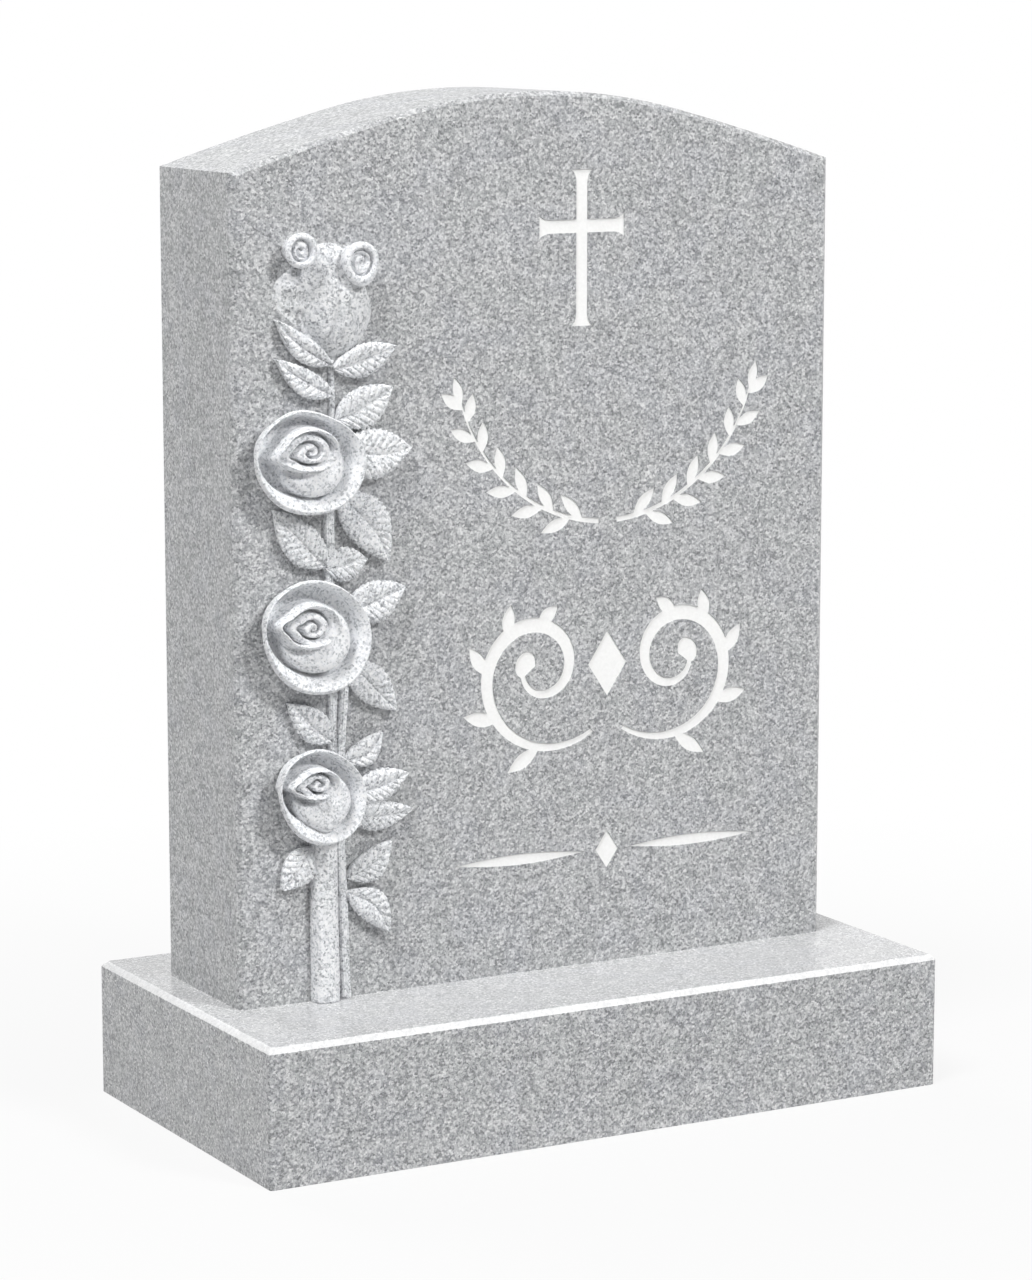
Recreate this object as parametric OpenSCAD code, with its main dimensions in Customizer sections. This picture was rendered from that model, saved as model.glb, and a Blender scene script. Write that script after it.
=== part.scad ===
// Upright headstone: a crowned granite tablet on a granite base, with a spray
// of roses carved in high relief on its left and white-filled sunk ornament.
// The origin is the centre of the base's underside, +Z is up and the carved
// face looks along -Y.

/* [Base] */
// Width of the base, left to right
base_w = 690; // [650:10:900]
// Depth of the base, front to back
base_d = 360; // [340:10:480]
// Height of the base
base_h = 125; // [80:5:200]
// Width of the arris cut along the base's top edges
base_arris = 5; // [2:1:15]
// Width of the arris cut down the base's four corners
base_corner = 2; // [2:1:12]

/* [Tablet] */
// Width of the tablet
tablet_w = 610; // [600:10:640]
// Thickness of the tablet
tablet_d = 150; // [100:5:200]
// Height of the tablet at the middle of its crown
tablet_h = 800; // [780:10:1000]
// Width of the arris cut round the tablet's two faces
tablet_arris = 4; // [1:0.5:8]
// Ledge of the base in front of the tablet
front_ledge = 130; // [80:5:170]
// How far the tablet stands left of the base's middle
tablet_offset = 6; // [0:1:15]

/* [Crown] */
// Width of the round arc in the middle of the crown
crown_arc_w = 288; // [150:10:400]
// Slope where the middle arc ends, in degrees
crown_slope = 14.5; // [8:0.5:20]
// Slope at the shoulders, in degrees
shoulder_slope = 18; // [15:0.5:24]

/* [Rose spray] */
// Height of the spray over the tablet's foot, to the top of its buds
spray_h = 684; // [660:2:700]
// Distance from the tablet's left edge to the middle of the lower rose
spray_inset = 72; // [68:1:80]
// Across the upper rose, the widest way
upper_rose_w = 109; // [100:1:114]
// Across the middle rose, the widest way
middle_rose_w = 110; // [100:1:112]
// Across the lower rose, the widest way
lower_rose_w = 92; // [84:1:96]
// Height of the roses' crests over the tablet's face
rose_relief = 34; // [24:1:44]
// Height of the leaves' crests over the tablet's face
leaf_relief = 12; // [8:0.5:16]
// Height of the buds over the tablet's face
bud_relief = 19; // [18:1:34]
// Width of the main stem
main_stem_w = 24; // [16:1:28]
// Width of the side stem and of the stem over the middle rose
side_stem_w = 10; // [7:1:12]
// Width of the pair of stems under the middle rose
thin_stem_w = 8; // [5:1:10]
// Height of the stems over the tablet's face, as a share of their width
stem_rise = 0.62; // [0.5:0.02:0.8]

/* [Cross] */
// Height of the cross
cross_h = 140; // [100:5:180]
// Span of the cross's arms
cross_span = 88; // [70:2:120]
// Width of the cross's bars
cross_bar = 12; // [8:1:18]
// Width of the bars' flared ends
cross_flare = 25; // [20:1:34]
// Length over which an end flares
cross_flare_run = 12; // [6:1:18]
// From the tablet's centreline to the cross's, towards the right
cross_right = 42; // [0:2:80]
// From the top of the crown down to the top of the cross
cross_drop = 70; // [50:5:100]

/* [Sunk ornament] */
// Depth of the sunk ornament under the tablet's face
sink_depth = 2; // [1.5:0.5:5]
// Thickness of the white filling at the bottom of the sinking
fill_t = 1; // [0.5:0.25:1.25]
// From the tablet's centreline to the ornament's, towards the right
ornament_right = 70; // [40:2:80]
// Height of the branches' lower ends over the tablet's foot
branch_z = 412; // [400:2:430]
// Length of each branch along its curve
branch_length = 196; // [150:2:200]
// Length of a branch's largest leaf
branch_leaf = 34; // [26:1:38]
// Height of the scrolls' middle over the tablet's foot
scroll_z = 280; // [270:2:290]
// Outer radius of each scroll
scroll_r = 82; // [60:1:88]
// Widest stroke of the scrolls
scroll_stroke = 14; // [8:0.5:16]
// Length of a leaf on a scroll
scroll_leaf = 40; // [24:1:44]
// Height of the rule over the tablet's foot
rule_z = 106; // [90:2:120]
// Length of each half of the rule
rule_length = 138; // [90:2:146]
// Height of each half of the rule at its middle
rule_swell = 10; // [5:0.5:14]
// Height of the lozenge in the middle of the rule
lozenge_h = 36; // [20:1:44]

/* [Hidden] */
granite = [0.72, 0.73, 0.75];
carved_granite = [0.86, 0.87, 0.88];
white_fill = [0.97, 0.97, 0.96];

face_y = -base_d / 2 + front_ledge;     // the tablet's front face
tablet_x = -tablet_offset;              // the tablet's centreline
spray_x = tablet_x - tablet_w / 2 + spray_inset;

// Places and lengths in the spray's tables are for a spray 684 mm high
grow = spray_h / 684;

// Leaves: name, root across and up from the lower rose's middle at the
// tablet's foot, direction in degrees, length, width, bow of the midrib to its
// left, and share of leaf_relief.
LEAVES = [
    ["leaf_top_left_upper", [20, 567], 142, 66, 22, 5, 1.15],
    ["leaf_top_left_lower", [22, 541], 149, 64, 24, 4, 1.0],
    ["leaf_top_right_upper", [22, 564], 16, 63, 30, -2, 1.1],
    ["leaf_top_right_lower", [24, 519], 26, 61, 38, -3, 1.0],
    ["leaf_by_upper_rose", [28, 490], 1, 69, 46, -3, 1.1],
    ["leaf_under_upper_rose_left", [15, 390], 134, 74, 36, 3, 1.0],
    ["leaf_under_upper_rose_middle", [12, 389], 8, 42, 32, 0, 0.9],
    ["leaf_under_upper_rose_right", [28, 455], -54, 78, 43, 4, 1.15],
    ["leaf_by_middle_rose", [33, 353], 15, 59, 38, -4, 1.1],
    ["leaf_under_middle_rose_left", [19, 234], 139, 57, 30, 1, 0.9],
    ["leaf_under_middle_rose_right", [33, 304], -44, 67, 34, 1, 1.05],
    ["leaf_by_lower_rose_upper", [31, 215], 33, 43, 25, -5, 1.0],
    ["leaf_by_lower_rose_middle", [35, 183], 16, 60, 31, 0, 1.15],
    ["leaf_by_lower_rose_lower", [33, 164], 2, 65, 27, -2, 1.0],
    ["leaf_by_main_stem", [-2, 141], -130, 46, 32, 1, 1.0],
    ["leaf_by_side_stem_upper", [33, 109], 35, 52, 30, -5, 1.0],
    ["leaf_by_side_stem_lower", [33, 97], -45, 57, 30, 6, 1.1],
];

// Roses: width, shape (height over width), tilt of the long axis in degrees,
// middle across and up from the lower rose's middle at the tablet's foot, and
// the heart's place from the middle over half the width.
ROSES = [
    [upper_rose_w, 0.82, -13, [-8.5, 484], [-0.08, 0.17]],
    [middle_rose_w, 0.89, -36, [-3, 331], [-0.06, 0.20]],
    [lower_rose_w, 0.87, -49, [1, 188.5], [-0.13, 0.31]],
];
rose_waist = 0.72;      // foot of a rose over its rim
rose_sides = 40;
// Rings of a rose from its heart to its rim: radius over the half width,
// height over rose_relief, and how far the ring is drawn out into an eye.
ROSE_RINGS = [
    [0.02, 0.97, 0], [0.07, 0.94, 0], [0.11, 0.80, 0], [0.17, 1.00, 0.05],
    [0.21, 0.97, 0.1], [0.25, 0.84, 0.2], [0.35, 0.95, 0.3], [0.39, 0.90, 0.3],
    [0.43, 0.73, 0.25], [0.56, 0.75, 0.1], [0.66, 0.62, 0.02], [0.72, 0.45, 0],
    [0.80, 0.58, 0], [0.88, 0.73, 0], [0.95, 0.76, 0], [1.00, 0.68, 0],
];
// Rings of the cup under the rim, down to the tablet's face
CUP_RINGS = [[1.00, 0.60], [0.86, 0.25], [rose_waist, 0]];

// Small buds: radius, middle as for the roses, how far the foot is drawn down
BUDS = [
    [15.5, [-14, 668], 0],
    [17, [40.5, 658.5], 0.3],
];
bud_sides = 24;
bud_waist = 0.8;
BUD_RINGS = [
    [0.03, 0.95], [0.20, 0.90], [0.30, 0.68], [0.52, 0.66],
    [0.66, 0.92], [0.84, 1.00], [1.00, 0.88],
];

// The large half-open bud's petals: middle as for the roses, half width, half
// height, height over bud_relief
TOP_BUD_PETALS = [
    [[27, 612], 33, 39, 1.0],
    [[-14, 628], 20, 21, 0.66],
    [[19, 650], 24, 23, 0.5],
];
top_bud_sides = 32;
petal_waist = 0.93;
PETAL_RINGS = [
    [0.03, 1.00], [0.30, 0.98], [0.52, 0.90], [0.70, 0.78],
    [0.84, 0.62], [0.94, 0.44], [1.00, 0.26],
];

function flat(lists) = [for (l = lists) each l];

// A closed solid through loops of the same number of points
module skin(loops) {
    n = len(loops[0]);
    last = (len(loops) - 1) * n;
    sides = [for (r = [0 : len(loops) - 2], k = [0 : n - 1])
        let (a = r * n + k, b = r * n + (k + 1) % n)
        each [[a, b, b + n], [a, b + n, a + n]]];
    polyhedron(flat(loops), concat(
        [[for (k = [n - 1 : -1 : 0]) k]], sides,
        [[for (k = [0 : n - 1]) last + k]]));
}

// ---- The two stones ----

module plan_with_corners(w, d, c) {
    polygon([[-w / 2 + c, -d / 2], [w / 2 - c, -d / 2], [w / 2, -d / 2 + c], [w / 2, d / 2 - c],
             [w / 2 - c, d / 2], [-w / 2 + c, d / 2], [-w / 2, d / 2 - c], [-w / 2, -d / 2 + c]]);
}

module base() {
    color(granite) hull() {
        linear_extrude(base_h - base_arris) plan_with_corners(base_w, base_d, base_corner);
        linear_extrude(base_h)
            plan_with_corners(base_w - 2 * base_arris, base_d - 2 * base_arris, base_corner);
    }
}

// The crown's middle arc and its flatter flanks, whose arcs meet it at crown_slope
crown_r = crown_arc_w / 2 / sin(crown_slope);
flank_r = (tablet_w - crown_arc_w) / 2 / (sin(shoulder_slope) - sin(crown_slope));
function crown_point(a) = a <= crown_slope
    ? [crown_r * sin(a), crown_r * (cos(a) - 1)]
    : [crown_r * sin(crown_slope) + flank_r * (sin(a) - sin(crown_slope)),
       crown_r * (cos(crown_slope) - 1) + flank_r * (cos(a) - cos(crown_slope))];
crown_steps = 9;
flank_steps = 4;
crown_angles = concat(
    [for (i = [0 : crown_steps - 1]) crown_slope * i / crown_steps],
    [for (i = [0 : flank_steps]) crown_slope + (shoulder_slope - crown_slope) * i / flank_steps]);
shoulder_drop = -crown_point(shoulder_slope)[1];

// The slab's front outline, carried on below its foot by the given length
module tablet_outline(below = 0) {
    half = [for (a = crown_angles) crown_point(a) + [0, tablet_h]];
    count = len(half);
    polygon(concat(
        [[tablet_w / 2, -below]],
        [for (i = [count - 1 : -1 : 0]) half[i]],
        [for (i = [1 : count - 1]) [-half[i][0], half[i][1]]],
        [[-tablet_w / 2, -below]]));
}

module on_face(across, up) {
    translate([across, face_y, base_h + up]) rotate([90, 0, 0]) children();
}

module tablet() {
    color(granite) difference() {
        translate([tablet_x, face_y, base_h]) rotate([90, 0, 0]) hull() {
            translate([0, 0, tablet_arris - tablet_d])
                linear_extrude(tablet_d - 2 * tablet_arris) tablet_outline();
            translate([0, 0, -tablet_d]) linear_extrude(tablet_d) intersection() {
                offset(delta = -tablet_arris) tablet_outline(2 * tablet_arris);
                translate([-tablet_w / 2, 0]) square([tablet_w, tablet_h]);
            }
        }
        sinking() all_ornament();
    }
}

// ---- Sunk ornament ----

module sinking() {
    on_face(tablet_x, 0) translate([0, 0, -sink_depth]) linear_extrude(sink_depth + 1) children();
}

module filling() {
    color(white_fill) on_face(tablet_x, 0)
        translate([0, 0, -sink_depth]) linear_extrude(fill_t) children();
}

// Quarter of a flared bar end: from the bar's side out to its corner
function flare(half_length) = [for (i = [0 : 6]) let (a = 90 * i / 6)
    [cross_bar / 2 + (cross_flare - cross_bar) / 2 * (1 - cos(a)),
     half_length - cross_flare_run * (1 - sin(a))]];

module flared_bar(length) {
    q = flare(length / 2);
    n = len(q) - 1;
    polygon(concat(
        q,
        [for (i = [n : -1 : 0]) [-q[i][0], q[i][1]]],
        [for (i = [0 : n]) [-q[i][0], -q[i][1]]],
        [for (i = [n : -1 : 0]) [q[i][0], -q[i][1]]]));
}

cross_arm_share = 0.36;     // of the height, from the top down to the arms
module cross_shape() {
    translate([cross_right, tablet_h - cross_drop - cross_h / 2]) {
        flared_bar(cross_h);
        translate([0, cross_h * (0.5 - cross_arm_share)]) rotate(90) flared_bar(cross_span);
    }
}

// A leaf-shaped lens from the origin along +X
module lens(length, width, steps = 10) {
    polygon(concat(
        [for (i = [0 : steps]) [length * i / steps, width / 2 * sin(180 * i / steps)]],
        [for (i = [steps - 1 : -1 : 1]) [length * i / steps, -width / 2 * sin(180 * i / steps)]]));
}

branch_gap = 9;         // from the ornament's centreline to a branch's lower end
branch_start = 4;       // direction of the branch's lower end, in degrees
branch_turn = 70;       // how far it bends upwards, in degrees
branch_stem_w = 5;
branch_pairs = 6;
branch_bend_r = branch_length / (branch_turn * PI / 180);
function branch_dir(s) = branch_start + branch_turn * s;
function branch_at(s) = [
    branch_gap + branch_bend_r * (sin(branch_dir(s)) - sin(branch_start)),
    branch_z + branch_bend_r * (cos(branch_start) - cos(branch_dir(s)))];

// A stroke along a line of points, tapered by the half widths given for each
module stroke(line, sides) {
    last = len(line) - 1;
    polygon(concat([for (i = [0 : last]) line[i] + sides[i]],
                   [for (i = [last : -1 : 0]) line[i] - sides[i]]));
}

module branch_shape() {
    steps = 16;
    stroke([for (i = [0 : steps]) branch_at(i / steps)],
           [for (i = [0 : steps]) let (a = branch_dir(i / steps))
               branch_stem_w / 2 * (1 - 0.6 * i / steps) * [-sin(a), cos(a)]]);
    for (i = [0 : branch_pairs - 1], side = [-1, 1]) {
        s = (i + (side > 0 ? 0.55 : 0.95)) / (branch_pairs + 0.2);
        translate(branch_at(s)) rotate(branch_dir(s) + side * 36)
            lens(branch_leaf * (1 - 0.04 * i), branch_leaf * 0.34);
    }
    translate(branch_at(0.98)) rotate(branch_dir(1)) lens(branch_leaf * 0.8, branch_leaf * 0.3);
}

// A leafy volute: the stroke starts at the foot, swells and winds in to its eye
scroll_turns = 1.55;
scroll_tightness = 0.17;    // radius at the eye over the outer radius
scroll_from = 228;          // direction of the foot from the eye, in degrees
scroll_steps = 80;
scroll_leaves = 5;
scroll_ball = 0.925;    // share of the stroke's length out to the middle of its ball
scroll_growth = ln(scroll_tightness) / (360 * scroll_turns);
scroll_gap = 16;            // from the ornament's centreline to a scroll's foot
scroll_at = [scroll_gap - scroll_r * cos(scroll_from), scroll_z];
function scroll_radius(a) = scroll_r * exp(scroll_growth * a);
function scroll_half_stroke(s) = max(
    scroll_stroke / 2 * (0.3 + 0.7 * sin(180 * pow(1 - s, 1.7))),
    // the ball that the stroke ends in
    scroll_r * scroll_tightness * 0.72 * sqrt(max(0, 1 - pow((s - scroll_ball) / (1 - scroll_ball), 2))));

module scroll_shape() {
    translate(scroll_at) rotate(scroll_from) {
        stroke([for (i = [0 : scroll_steps]) let (a = 360 * scroll_turns * i / scroll_steps)
                   scroll_radius(a) * [cos(a), sin(a)]],
               [for (i = [0 : scroll_steps]) let (a = 360 * scroll_turns * i / scroll_steps)
                   -scroll_half_stroke(i / scroll_steps) * [cos(a), sin(a)]]);
        for (i = [0 : scroll_leaves - 1]) {
            a = 42 + 44 * i;
            rotate(a) translate([scroll_radius(a), 0]) rotate(58)
                lens(scroll_leaf * (1 - 0.08 * i), scroll_leaf * 0.34);
        }
    }
}

module lozenge_shape(up, height) {
    translate([0, up]) polygon([[0, height / 2], [height / 3, 0], [0, -height / 2], [-height / 3, 0]]);
}

scroll_lozenge_h = lozenge_h * 1.7;
rule_gap = 22;          // from the ornament's centreline to a half rule
module rule_shape() {
    translate([rule_gap, rule_z]) lens(rule_length, rule_swell, 12);
}

// The ornament's own centreline, mirrored to its left half
module right_half() {
    translate([ornament_right, 0]) children();
}

module left_half() {
    translate([ornament_right, 0]) mirror([1, 0]) children();
}

module all_ornament() {
    cross_shape();
    right_half() { branch_shape(); scroll_shape(); rule_shape(); }
    left_half() { branch_shape(); scroll_shape(); rule_shape(); }
    right_half() lozenge_shape(scroll_z, scroll_lozenge_h);
    right_half() lozenge_shape(rule_z, lozenge_h);
}

// ---- Rose spray ----

// From the tablet's face, with the spray's origin at the lower rose's middle at the foot
module spray(at) {
    color(carved_granite) on_face(spray_x + at[0], at[1]) children();
}

function turned(p, a) = [p[0] * cos(a) - p[1] * sin(a), p[0] * sin(a) + p[1] * cos(a)];

eye_angle = 165;        // the way the eye of a rose points
function rose_ring(rose, ring) = [for (k = [0 : rose_sides - 1])
    let (a = 360 * k / rose_sides,
         r = rose[0] / 2 * ring[0] * (1 + ring[2] * cos(2 * (a - eye_angle))),
         round_p = r * [cos(a), sin(a)],
         p = turned([turned(round_p, -rose[2])[0], turned(round_p, -rose[2])[1] * rose[1]], rose[2]),
         lift = rose[0] / 2 * rose[4] * (1 - ring[0] * ring[0]))
    [p[0] + lift[0], p[1] + lift[1], ring[1] * rose_relief]];

function cup_ring(rose, ring) = [for (k = [0 : rose_sides - 1])
    let (a = 360 * k / rose_sides,
         r = rose[0] / 2 * ring[0],
         q = turned(r * [cos(a), sin(a)], -rose[2]),
         p = turned([q[0], q[1] * rose[1]], rose[2]))
    [p[0], p[1], ring[1] * rose_relief]];

module rose(i) {
    spray(grow * ROSES[i][3]) skin(concat(
        [for (ring = ROSE_RINGS) rose_ring(ROSES[i], ring)],
        [for (ring = CUP_RINGS) cup_ring(ROSES[i], ring)]));
}

// The space a rose's cup takes over the face, for what runs under its rim
module rose_room(i) {
    translate(concat(grow * ROSES[i][3], 0)) skin([
        for (ring = [[1.0, 1.0], [1.0, CUP_RINGS[0][1]], CUP_RINGS[1], CUP_RINGS[2], [rose_waist, -0.2]])
            cup_ring(ROSES[i], ring)]);
}

function bud_ring(bud, ring) = [for (k = [0 : bud_sides - 1])
    let (a = 360 * k / bud_sides,
         down = pow(max(0, -sin(a)), 3) * bud[2],
         r = grow * bud[0] * ring[0] * (1 + down))
    [r * cos(a), r * sin(a), ring[1] * bud_relief]];

module bud_solid(i, rings) {
    skin([for (ring = rings) bud_ring(BUDS[i], ring)]);
}

module small_bud(i) {
    spray(grow * BUDS[i][1]) bud_solid(i, concat(BUD_RINGS, [[bud_waist, 0]]));
}

module bud_room(i) {
    translate(concat(grow * BUDS[i][1], 0))
        bud_solid(i, [[1.0, 1.2], [1.0, BUD_RINGS[len(BUD_RINGS) - 1][1]], [bud_waist, 0], [bud_waist, -0.2]]);
}

function petal_ring(petal, ring) = [for (k = [0 : top_bud_sides - 1])
    let (a = 360 * k / top_bud_sides, slim = 1 - 0.12 * pow(max(0, -sin(a)), 2) * pow(2 * cos(a), 2))
    [grow * petal[1] * ring[0] * slim * cos(a), grow * petal[2] * ring[0] * slim * sin(a),
     ring[1] * petal[3] * bud_relief]];

module petal(p, rings) {
    translate(concat(grow * p[0], 0)) skin([for (ring = rings) petal_ring(p, ring)]);
}

module top_bud_room() {
    for (p = TOP_BUD_PETALS)
        petal(p, [[1.0, 1.2], [1.0, 0.26], [petal_waist, 0], [petal_waist, -0.01]]);
}

module bud_top() {
    color(carved_granite) difference() {
        spray([0, 0]) for (p = TOP_BUD_PETALS) petal(p, concat(PETAL_RINGS, [[petal_waist, 0]]));
        spray([0, 0]) {
            bud_room(0);
            bud_room(1);
        }
    }
}

// A half-round stem on the face from one point to another
stem_arc_steps = 8;
function stem_loop(at, width, dir) = [for (i = [0 : stem_arc_steps]) let (a = 180 * i / stem_arc_steps)
    [at[0] + width / 2 * cos(a) * sin(dir), at[1] - width / 2 * cos(a) * cos(dir),
     width * stem_rise * sin(a)]];

module stem(from, to, width_from, width_to) {
    d = to - from;
    dir = atan2(d[1], d[0]);
    skin([stem_loop(from, width_from, dir), stem_loop(to, width_to, dir)]);
}

// ---- Stems ----

// Ends of the stems, across and up from the lower rose's middle at the foot
main_foot = grow * [10.5, 0];
main_head = grow * [9.5, 165];
stem_flare = 1.06;      // width of a stem at its foot over its width
side_taper = 0.8;       // width of the side stem at its head over its width
side_foot = main_foot + [(main_stem_w + side_stem_w) / 2 * stem_flare + grow * 3, 0];
side_head = main_head + [(main_stem_w + side_stem_w * side_taper) / 2 + grow * 1.5, 0];

module main_stem_solid() stem(main_foot, main_head, main_stem_w * stem_flare, main_stem_w);
module side_stem_solid() stem(side_foot, side_head, side_stem_w * stem_flare, side_stem_w * side_taper);
module middle_stem_solid(foot, head) stem(foot, head, thin_stem_w, thin_stem_w);
module middle_left_solid() middle_stem_solid(grow * [20, 215], grow * [21, 305]);
module middle_right_solid() middle_stem_solid(grow * [28, 215], grow * [34, 305]);
module upper_stem_solid() stem(grow * [18, 370], grow * [18.5, 455], side_stem_w, side_stem_w);
module top_stem_solid() stem(grow * [22.5, 515], grow * [22, 571], side_stem_w * 0.6, side_stem_w * 0.5);

module rose_rooms() {
    for (i = [0 : len(ROSES) - 1]) rose_room(i);
}

// A stem runs under the roses' rims to the foot of their cups
module cut_stem() {
    color(carved_granite) difference() {
        spray([0, 0]) children();
        spray([0, 0]) rose_rooms();
    }
}

module stem_main() cut_stem() main_stem_solid();
module stem_side() cut_stem() side_stem_solid();
module stem_middle_left() cut_stem() middle_left_solid();
module stem_middle_right() cut_stem() middle_right_solid();
module stem_upper() cut_stem() upper_stem_solid();
module stem_top() {
    cut_stem() difference() {
        top_stem_solid();
        top_bud_room();
    }
}

// ---- Leaves ----

leaf_steps = 10;
leaf_columns = 6;
leaf_root_w = 3;        // width of a leaf's root
leaf_tip_w = 1;         // width of its tip
leaf_undercut = 1.5;    // how far its foot lies inside its edge
function leaf_half(leaf, t) = max(
    leaf_root_w / 2 * (1 - t) + leaf_tip_w / 2 * t,
    grow * leaf[4] / 2 * pow(sin(180 * pow(t, 0.85)), 0.8));
function leaf_top(leaf, t, s) = leaf_relief * leaf[6]
    * (0.45 + 0.55 * sin(90 * min(1, 1.6 * t)) - 0.2 * t * t)
    * (1 - 0.9 * pow(abs(s) - 0.5, 2));
function leaf_loop(leaf, t) = let (
        w = leaf_half(leaf, t), x = grow * leaf[3] * t, mid = grow * leaf[5] * sin(180 * t),
        foot = max(w - leaf_undercut, w / 2))
    concat(
        [for (j = [0 : leaf_columns]) let (s = 1 - 2 * j / leaf_columns)
            [x, mid + w * s, leaf_top(leaf, t, s)]],
        [[x, mid - foot, 0], [x, mid + foot, 0]]);

module leaf_solid(leaf) {
    translate(concat(grow * leaf[1], 0)) rotate(leaf[2])
        skin([for (i = [0 : leaf_steps]) leaf_loop(leaf, i / leaf_steps)]);
}

// A leaf stops at the foot of the rose, bud or stem it grows behind
module leaf(l) {
    color(carved_granite) difference() {
        spray([0, 0]) leaf_solid(l);
        spray([0, 0]) {
            rose_rooms();
            top_bud_room();
            main_stem_solid();
            side_stem_solid();
            middle_left_solid();
            middle_right_solid();
            upper_stem_solid();
            top_stem_solid();
        }
    }
}

base();
tablet();
filling() cross_shape();  // cross_fill
filling() left_half() branch_shape();  // branch_left
filling() right_half() branch_shape();  // branch_right
filling() left_half() scroll_shape();  // scroll_left
filling() right_half() scroll_shape();  // scroll_right
filling() right_half() lozenge_shape(scroll_z, scroll_lozenge_h);  // scroll_lozenge
filling() left_half() rule_shape();  // rule_left
filling() right_half() rule_shape();  // rule_right
filling() right_half() lozenge_shape(rule_z, lozenge_h);  // rule_lozenge
rose(0);  // rose_upper
rose(1);  // rose_middle
rose(2);  // rose_lower
small_bud(0);  // bud_left
small_bud(1);  // bud_right
bud_top();
stem_main();
stem_side();
stem_middle_left();
stem_middle_right();
stem_upper();
stem_top();
for (l = LEAVES) leaf(l);
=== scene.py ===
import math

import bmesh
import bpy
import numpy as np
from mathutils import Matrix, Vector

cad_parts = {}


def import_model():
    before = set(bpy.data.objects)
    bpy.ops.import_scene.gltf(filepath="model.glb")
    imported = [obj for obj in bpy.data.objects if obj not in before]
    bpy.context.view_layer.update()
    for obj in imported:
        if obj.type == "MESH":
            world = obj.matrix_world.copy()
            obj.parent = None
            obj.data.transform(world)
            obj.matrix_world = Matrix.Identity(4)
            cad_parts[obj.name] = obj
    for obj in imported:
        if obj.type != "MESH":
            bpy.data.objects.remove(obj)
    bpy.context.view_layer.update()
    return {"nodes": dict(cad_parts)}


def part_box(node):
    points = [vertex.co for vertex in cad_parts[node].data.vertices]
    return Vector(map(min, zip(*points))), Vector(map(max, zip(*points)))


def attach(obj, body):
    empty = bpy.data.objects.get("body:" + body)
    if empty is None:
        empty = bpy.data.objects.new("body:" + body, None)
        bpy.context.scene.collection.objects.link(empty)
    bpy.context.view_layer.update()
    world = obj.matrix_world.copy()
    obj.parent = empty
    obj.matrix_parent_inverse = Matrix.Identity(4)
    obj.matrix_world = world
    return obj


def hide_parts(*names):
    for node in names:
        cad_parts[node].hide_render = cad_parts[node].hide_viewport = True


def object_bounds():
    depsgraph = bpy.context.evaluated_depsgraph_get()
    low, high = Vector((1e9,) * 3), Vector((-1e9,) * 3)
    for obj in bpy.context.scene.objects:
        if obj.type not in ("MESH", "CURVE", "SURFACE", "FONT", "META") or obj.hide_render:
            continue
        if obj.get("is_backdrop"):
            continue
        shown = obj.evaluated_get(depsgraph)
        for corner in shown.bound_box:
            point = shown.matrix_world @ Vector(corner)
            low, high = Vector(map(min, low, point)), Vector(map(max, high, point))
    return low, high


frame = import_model()

# An upright headstone: polished light grey granite, a spray of roses carved in
# high relief and frosted, and sunk ornament with a white filling.
# The CAD's base, tablet and fillings stay. Each carved piece is built anew in
# the place, size and outline of its CAD node. Its points are x, z and height,
# where x and z are the frame's and height is over the tablet's front face.

MM = 0.001
FACE_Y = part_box("tablet")[0][1]     # the tablet's front face
SUNK = 0.8 * MM                     # how far a carved piece runs into the stone behind it

rng = np.random.default_rng(7)


# ---- Reading the CAD's carved nodes ----

def face_points(node):
    """A node's corners as x, z and height over the tablet's face."""
    mesh = frame["nodes"][node].data
    co = np.empty(len(mesh.vertices) * 3)
    mesh.vertices.foreach_get("co", co)
    co = co.reshape(-1, 3)
    return np.stack([co[:, 0], co[:, 2], FACE_Y - co[:, 1]], axis=1)


def hull(points):
    """The convex outline of points in the plane, anticlockwise."""
    pts = sorted(set(map(tuple, np.round(points, 7))))

    def half(run):
        out = []
        for p in run:
            while len(out) > 1 and ((out[-1][0] - out[-2][0]) * (p[1] - out[-2][1])
                                    - (out[-1][1] - out[-2][1]) * (p[0] - out[-2][0])) <= 0:
                out.pop()
            out.append(p)
        return out[:-1]

    return np.array(half(pts) + half(pts[::-1]))


def outline_radius(outline, centre, angles):
    """How far the outline's straight edges lie from the centre in each direction."""
    rel = outline - centre
    a = np.arctan2(rel[:, 1], rel[:, 0])
    order = np.argsort(a)
    a, rel = a[order], rel[order]
    out = np.empty_like(angles)
    for i, angle in enumerate(angles):
        angle = (angle + math.pi) % (2 * math.pi) - math.pi
        k = np.searchsorted(a, angle) % len(a)
        corner, edge = rel[k - 1], rel[k] - rel[k - 1]
        across = np.array([-edge[1], edge[0]])
        out[i] = (corner @ across) / (np.array([math.cos(angle), math.sin(angle)]) @ across)
    return out


def outline_middle(outline):
    """The outline's centre of area."""
    nxt = np.roll(outline, -1, axis=0)
    cross = outline[:, 0] * nxt[:, 1] - nxt[:, 0] * outline[:, 1]
    area = cross.sum() / 2
    return ((outline + nxt) * cross[:, None]).sum(0) / (6 * area)


# ---- Small numeric helpers ----

def mix(a, b, t):
    return a + (b - a) * t


def smooth_step(x, width):
    """From 0 to 1 as x passes 0."""
    return 0.5 * (1 + np.tanh(x / width))


def bell(x, width):
    """1 where x is 0, falling to 0 on both sides."""
    return np.exp(-(x / width) ** 2)


def over(below, layer, inside, width):
    """A layer lies over what is below wherever inside is positive."""
    return mix(below, layer, smooth_step(inside, width))


def from_whole(x):
    """How far x is from the nearest whole number."""
    part = x % 1
    return np.minimum(part, 1 - part)


def polar(x, z, centre):
    dx, dz = x - centre[0], z - centre[1]
    return np.hypot(dx, dz), np.arctan2(dz, dx)


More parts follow.
